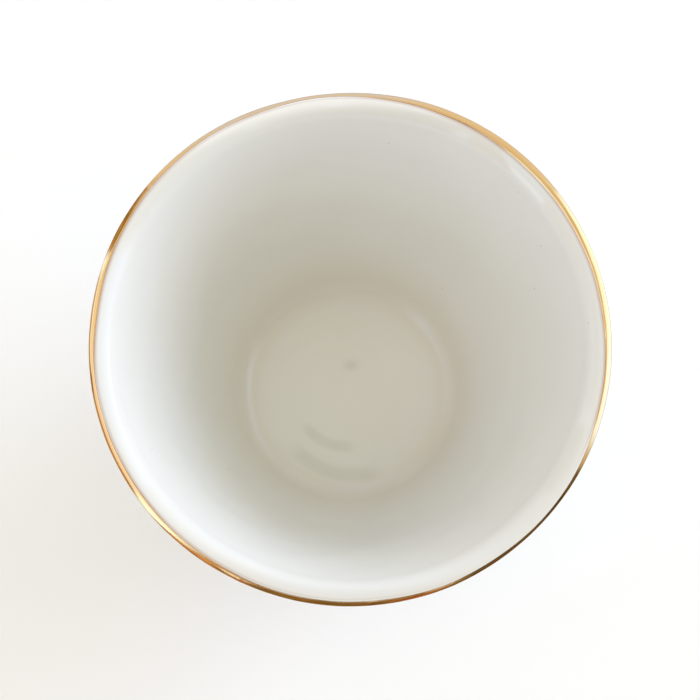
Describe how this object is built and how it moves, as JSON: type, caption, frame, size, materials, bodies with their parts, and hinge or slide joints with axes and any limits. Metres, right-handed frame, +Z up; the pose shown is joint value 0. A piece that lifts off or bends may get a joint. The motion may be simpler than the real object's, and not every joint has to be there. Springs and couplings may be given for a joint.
{
  "type": "arabic coffee cup",
  "caption": "Small handleless coffee cup of white glazed porcelain: a tapered bowl with a softly flared lip painted gold, a flat inside floor and a low foot ring.",
  "frame": {"origin": "centre of the circle that the foot ring stands on", "axes": "+Z up, along the axis that the cup is turned about; +X and +Y lie in the standing plane"},
  "size_m": [0.062, 0.062, 0.045],
  "materials": {
    "fired_porcelain": "fired and unglazed, fine and matte, rubbed smooth where it stands",
    "inside_glaze": "glossy white glaze, poured",
    "outside_glaze": "glossy white glaze, dipped",
    "recess_glaze": "glossy white glaze, a little thinner",
    "bright_gold": "fired bright gold, brushed on by hand"
  },
  "bodies": {
    "root": {"porcelain_body": "fired_porcelain", "inner_glaze": "inside_glaze", "outer_glaze": "outside_glaze", "recess_glaze": "recess_glaze", "gold_rim_band": "bright_gold"}
  },
  "joints": []
}
